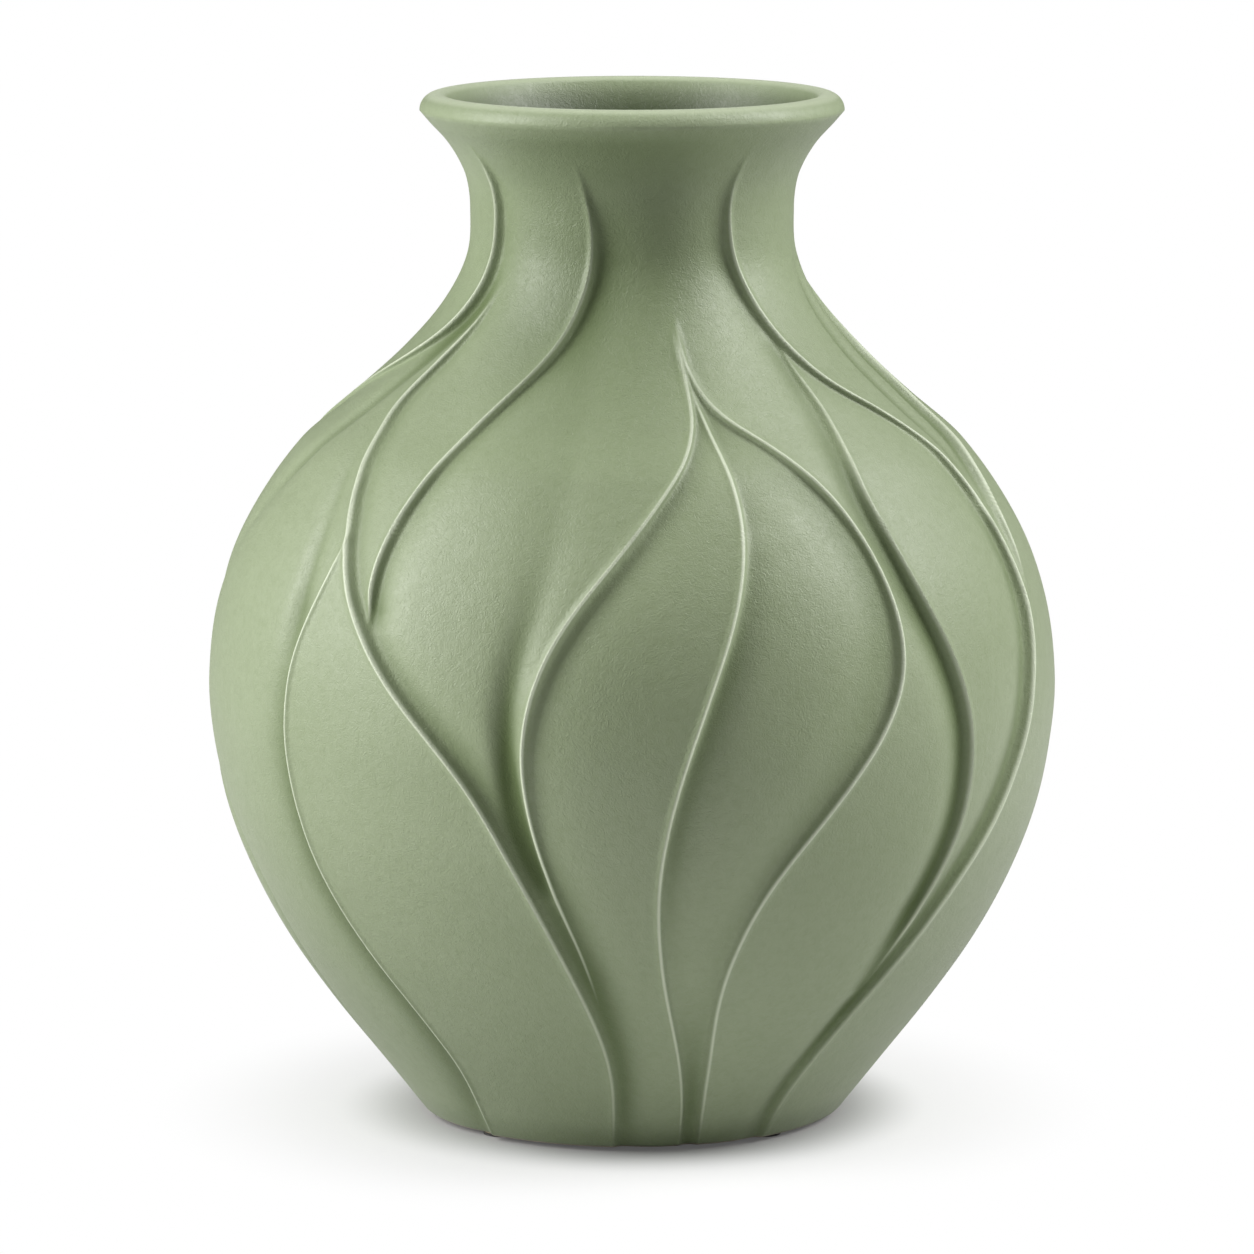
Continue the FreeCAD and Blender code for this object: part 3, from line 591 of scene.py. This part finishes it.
def grid_mesh(name, points):
    """The vase's closed mesh from its half section, with its masks as attributes."""
    radii, azimuths, dips, crests = carved_rows(points)
    angles = np.radians(azimuths)
    heights = points[:, 1]
    levels = np.repeat(heights[:, None], COLUMNS, 1)
    corners = np.stack([radii * np.sin(angles), -radii * np.cos(angles), levels], 2)
    ends = np.array([[0, 0, heights[0]], [0, 0, heights[-1]]])
    corners = np.concatenate([corners.reshape(-1, 3), ends]) * MM
    rows = len(points)
    column = np.arange(COLUMNS)
    after = (column + 1) % COLUMNS
    low = np.arange(rows - 1)[:, None] * COLUMNS
    high = low + COLUMNS
    quads = np.stack([low + column, low + after, high + after, high + column], 2)
    recess_middle = rows * COLUMNS
    floor_middle = recess_middle + 1
    last_row = recess_middle - COLUMNS
    fans = [(recess_middle, after[c], column[c]) for c in range(COLUMNS)]
    fans += [(floor_middle, last_row + column[c], last_row + after[c]) for c in range(COLUMNS)]
    faces = quads.reshape(-1, 4).tolist() + [tuple(int(v) for v in fan) for fan in fans]
    mesh = bpy.data.meshes.new(name)
    mesh.from_pydata(corners.tolist(), [], faces)
    mesh.polygons.foreach_set("use_smooth", [True] * len(mesh.polygons))
    # The inside's painted shade: none at the rim, full at its depth.
    inside_shade = ease((TOP - heights) / INSIDE_SHADE_DEPTH) * (np.arange(rows) > np.argmax(heights))
    inside_shade = np.repeat(inside_shade[:, None], COLUMNS, 1)
    for title, values, last in (("groove", dips, 0), ("crest", crests, 0), ("inside", inside_shade, 1)):
        attribute = mesh.attributes.new(title, "FLOAT", "POINT")
        values = np.clip(values, 0, MASK_LIMIT).ravel()
        attribute.data.foreach_set("value", np.append(values, [0, last]))
    mesh.update()
    return mesh


def add_object(name, data):
    thing = bpy.data.objects.new(name, data)
    bpy.context.scene.collection.objects.link(thing)
    return thing


class Nodes:
    """A material's node tree with short ways to add and join nodes."""

    def __init__(self, name):
        self.material = bpy.data.materials.new(name)
        self.material.use_nodes = True
        self.tree = self.material.node_tree
        self.tree.nodes.clear()
        self.output = self.add("ShaderNodeOutputMaterial")

    def add(self, kind, **inputs):
        """A node, with values or links for the inputs that are named."""
        node = self.tree.nodes.new(kind)
        for key, value in inputs.items():
            self.put(node.inputs[key.replace("_", " ")], value)
        return node

    def put(self, socket, value):
        """Give a socket a link or a value."""
        if isinstance(value, bpy.types.NodeSocket):
            self.tree.links.new(value, socket)
        else:
            socket.default_value = value

    def finish(self, shader):
        """The material with this shader as its surface."""
        self.put(self.output.inputs["Surface"], shader.outputs[0])
        return self.material

    def mix_shaders(self, factor, first, second):
        """Mix of two shaders."""
        node = self.add("ShaderNodeMixShader")
        self.put(node.inputs[0], factor)
        self.put(node.inputs[1], first.outputs[0])
        self.put(node.inputs[2], second.outputs[0])
        return node

    def blend(self, factor, first, second):
        """Mix of two colours."""
        node = self.add("ShaderNodeMix")
        node.data_type = "RGBA"
        self.put(node.inputs["Factor"], factor)
        self.put(node.inputs[6], first)
        self.put(node.inputs[7], second)
        return node.outputs[2]

    def math(self, operation, first, second):
        node = self.add("ShaderNodeMath")
        node.operation = operation
        self.put(node.inputs[0], first)
        self.put(node.inputs[1], second)
        return node.outputs[0]

    def spread(self, value, span, first=0.0, last=1.0):
        """A value mapped smoothly from a span to first..last."""
        node = self.add("ShaderNodeMapRange", Value=value, From_Min=span[0], From_Max=span[1],
                        To_Min=first, To_Max=last)
        node.interpolation_type = "SMOOTHSTEP"
        return node.outputs["Result"]

    def noise(self, scale, detail=2.0, distortion=0.0):
        node = self.add("ShaderNodeTexNoise", Scale=scale, Detail=detail, Distortion=distortion,
                        Vector=self.place())
        return node.outputs["Fac"]

    def place(self):
        """Where a point lies in its object, in metres."""
        return self.add("ShaderNodeTexCoord").outputs["Object"]

    def attribute(self, name):
        node = self.add("ShaderNodeAttribute")
        node.attribute_name = name
        return node.outputs["Fac"]

    def bump(self, height, distance, **normal):
        node = self.add("ShaderNodeBump", Height=height, Distance=distance, **normal)
        return node.outputs["Normal"]


def glaze():
    """Satin sage glaze: paler on the beads, where it thins, with a painted highlight there and on
    the rim; darker in the grooves, where it pools, with painted shade there and on the neck, at
    the foot and inside; and bare clay under the foot ring."""
    nodes = Nodes("satin_glaze")
    groove = nodes.attribute("groove")
    crest = nodes.attribute("crest")
    cloud = nodes.noise(CLOUD_SCALE, detail=3)
    fleck = nodes.noise(FLECK_SCALE, detail=3, distortion=0.6)
    grain = nodes.noise(GRAIN_SCALE, detail=3, distortion=1.8)
    soft = nodes.noise(SOFT_SCALE, detail=2, distortion=0.8)
    place = nodes.add("ShaderNodeSeparateXYZ", Vector=nodes.place())
    level = place.outputs["Z"]

    colour = nodes.blend(nodes.spread(cloud, (0.3, 0.7)), SAGE, PALE_SAGE)
    colour = nodes.blend(nodes.spread(fleck, (0.35, 0.75), 0, FLECK_SHARE), colour, FLECK_GREEN)
    # Grooves: pooled glaze and painted shade.
    colour = nodes.blend(nodes.spread(groove, (0.2, 1.4), 0, GROOVE_POOL_AND_SHADE_SHARE), colour, GROOVE_POOL_AND_SHADE_GREEN)
    # Beads: thin pale glaze and a painted highlight.
    colour = nodes.blend(nodes.spread(crest, (0.15, 0.85), 0, BEAD_PALE_AND_HIGHLIGHT_SHARE), colour, BEAD_PALE_AND_HIGHLIGHT_GREEN)

    # Painted shade: a band on the neck under the lip, strongest at the front left of the middle,
    # and a darker strip at the foot.
    neck_shade_band = nodes.math("MULTIPLY", nodes.spread(level, SHOULDER_LEVELS),
                       nodes.spread(level, UNDER_LIP_LEVELS, 1, 0))
    aside = nodes.math("ADD", place.outputs["X"], -NECK_SHADE_PLACE)
    run = nodes.spread(nodes.math("MULTIPLY", aside, aside), NECK_SHADE_WIDTHS_SQUARED, *NECK_SHADE_SHARES)
    foot = nodes.spread(level, FOOT_SHADE_LEVELS, FOOT_SHADE_SHARE, 0)
    neck_and_foot_shade = nodes.math("MAXIMUM", nodes.math("MULTIPLY", neck_shade_band, run), foot)
    colour = nodes.blend(neck_and_foot_shade, colour, NECK_AND_FOOT_SHADE_GREEN)
    # Painted highlight along the rim's top.
    colour = nodes.blend(nodes.spread(level, RIM_HIGHLIGHT_LEVELS, 0, RIM_HIGHLIGHT_SHARE), colour, RIM_HIGHLIGHT_GREEN)
    # Painted shade inside the mouth.
    colour = nodes.blend(nodes.attribute("inside"), colour, INSIDE_SHADE_GREEN)

    wave = nodes.math("MULTIPLY", nodes.noise(CLAY_SCALE), CLAY_WAVE)
    bare = nodes.spread(nodes.math("ADD", level, wave), CLAY_LEVELS, 1, 0)
    colour = nodes.blend(bare, colour, CLAY)
    roughness = nodes.math("ADD", nodes.spread(soft, (0.3, 0.7), 0.46, 0.54),
                           nodes.math("MULTIPLY", bare, 0.4))
    bumped = nodes.bump(soft, SOFT_HEIGHT, Normal=nodes.bump(grain, GRAIN_HEIGHT))
    return nodes.finish(nodes.add(
        "ShaderNodeBsdfPrincipled", Base_Color=colour, Roughness=roughness, Normal=bumped, IOR=1.5,
        Specular_IOR_Level=nodes.spread(groove, (0.2, 1.2), 0.6, 0.1),
        Coat_Weight=0.12, Coat_Roughness=0.35, Sheen_Weight=0.14, Sheen_Roughness=0.5))


def felt():
    """Pressed charcoal felt with short loose fibres."""
    nodes = Nodes("felt")
    fibres = nodes.noise(FIBRE_SCALE, detail=6, distortion=2.5)
    patches = nodes.spread(nodes.noise(PATCH_SCALE, detail=3), (0.4, 0.6), 0, 0.3)
    colour = nodes.blend(nodes.spread(fibres, (0.35, 0.65)), FELT_DARK, FELT_PALE)
    colour = nodes.blend(patches, colour, FELT_PATCH)
    return nodes.finish(nodes.add(
        "ShaderNodeBsdfPrincipled", Base_Color=colour, Roughness=0.95, Sheen_Weight=0.4,
        Sheen_Roughness=0.5, Normal=nodes.bump(fibres, FIBRE_HEIGHT)))


def adhesive():
    """Amber adhesive film with faint streaks."""
    nodes = Nodes("adhesive")
    streaks = nodes.noise(STREAK_SCALE, detail=3, distortion=1.2)
    colour = nodes.blend(nodes.spread(streaks, (0.3, 0.7)), AMBER_DARK, AMBER_PALE)
    return nodes.finish(nodes.add(
        "ShaderNodeBsdfPrincipled", Base_Color=colour, Roughness=0.38,
        Normal=nodes.bump(streaks, STREAK_HEIGHT)))


def dress_node(name, material):
    """Give a CAD node its material in each of its slots."""
    thing = frame["nodes"][name]
    if not thing.material_slots:
        thing.data.materials.append(material)
    for slot in thing.material_slots:
        slot.material = material


def vase():
    thing = add_object("vase_glazed", grid_mesh("vase_glazed", section()))
    thing.data.materials.append(glaze())
    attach(thing, "root")
    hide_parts("vase_body")


def pads():
    soft, film = felt(), adhesive()
    for name in frame["nodes"]:
        if name.startswith("felt_pad"):
            dress_node(name, soft)
        elif name.startswith("pad_adhesive"):
            dress_node(name, film)


def floor():
    """A white floor that keeps the vase's shadow near it, with a painted shadow where its glow is
    weak close to the foot, and is plain white further out. Rays that light the vase meet a plain
    grey instead."""
    mesh = bpy.data.meshes.new("floor")
    corners = [(-FLOOR_REACH, -FLOOR_REACH, 0), (FLOOR_REACH, -FLOOR_REACH, 0),
               (FLOOR_REACH, FLOOR_REACH, 0), (-FLOOR_REACH, FLOOR_REACH, 0)]
    mesh.from_pydata(corners, [], [(0, 1, 2, 3)])
    thing = add_object("floor", mesh)
    nodes = Nodes("white_floor")
    length = nodes.add("ShaderNodeVectorMath")
    length.operation = "LENGTH"
    nodes.put(length.inputs[0], nodes.place())
    away = length.outputs["Value"]
    near = nodes.add("ShaderNodeAddShader")
    paper = nodes.add("ShaderNodeBsdfDiffuse", Color=NEAR_GREY)
    # Its glow is weakest near the foot: a painted shadow around the vase.
    shadow_glow = nodes.add("ShaderNodeEmission", Strength=nodes.spread(away, SHADOW_GLOW_SPAN, *SHADOW_GLOW_STRENGTHS))
    nodes.put(near.inputs[0], paper.outputs[0])
    nodes.put(near.inputs[1], shadow_glow.outputs[0])
    white = nodes.add("ShaderNodeEmission")
    seen = nodes.mix_shaders(nodes.spread(away, WHITE_SPAN), near, white)
    path = nodes.add("ShaderNodeLightPath").outputs
    shown = nodes.math("MAXIMUM", path["Is Camera Ray"], path["Is Transmission Ray"])
    dull = nodes.add("ShaderNodeBsdfDiffuse", Color=UNSEEN_GREY)
    thing.data.materials.append(nodes.finish(nodes.mix_shaders(shown, dull, seen)))


def world():
    """White to the camera, a weak even light on matt surfaces, and dark in reflections."""
    place = bpy.data.worlds.new("studio")
    bpy.context.scene.world = place
    place.use_nodes = True
    tree = place.node_tree
    tree.nodes.clear()
    output = tree.nodes.new("ShaderNodeOutputWorld")
    shown = tree.nodes.new("ShaderNodeBackground")
    lit = tree.nodes.new("ShaderNodeBackground")
    mix = tree.nodes.new("ShaderNodeMixShader")
    path = tree.nodes.new("ShaderNodeLightPath")
    either = tree.nodes.new("ShaderNodeMath")
    either.operation = "MAXIMUM"
    tree.links.new(path.outputs["Is Camera Ray"], either.inputs[0])
    tree.links.new(path.outputs["Is Transmission Ray"], either.inputs[1])
    tree.links.new(either.outputs[0], mix.inputs[0])
    tree.links.new(lit.outputs[0], mix.inputs[1])
    tree.links.new(shown.outputs[0], mix.inputs[2])
    for background in (shown, lit):
        background.inputs["Color"].default_value = (1, 1, 1, 1)
    strength = tree.nodes.new("ShaderNodeMath")
    strength.operation = "MULTIPLY"
    strength.inputs[1].default_value = WORLD_LIGHT
    tree.links.new(path.outputs["Is Diffuse Ray"], strength.inputs[0])
    tree.links.new(strength.outputs[0], lit.inputs["Strength"])
    tree.links.new(mix.outputs[0], output.inputs["Surface"])


def lamp(name, azimuth, elevation, power):
    """A soft box that faces the vase's middle."""
    data = bpy.data.lights.new(name, "AREA")
    data.shape = "RECTANGLE"
    data.size, data.size_y = LAMP_SIZE
    data.energy = power
    thing = add_object(name, data)
    around, up = math.radians(azimuth), math.radians(elevation)
    reach = Vector((math.sin(around) * math.cos(up), -math.cos(around) * math.cos(up),
                    math.sin(up)))
    thing.location = Vector((0, 0, LAMP_AIM)) + LAMP_DISTANCE * reach
    thing.rotation_euler = (-reach).to_track_quat("-Z", "Y").to_euler()


def lights():
    for name, (azimuth, elevation, power) in LAMPS.items():
        lamp(name, azimuth, elevation, power)


def camera():
    data = bpy.data.cameras.new("camera")
    data.lens = FOCAL_PIXELS * data.sensor_width / PHOTO_WIDTH
    thing = add_object("camera", data)
    tilt = math.radians(VIEW_ELEVATION)
    target = Vector((-AXIS_SHIFT * MM, 0, TARGET_LEVEL * MM))
    away = Vector((0, -math.cos(tilt), math.sin(tilt)))
    thing.location = target + away * VIEW_DISTANCE * MM
    thing.rotation_euler = (-away).to_track_quat("-Z", "Y").to_euler()
    bpy.context.scene.camera = thing


vase()
pads()
floor()
world()
lights()
camera()
bpy.context.scene.view_settings.view_transform = "Standard"
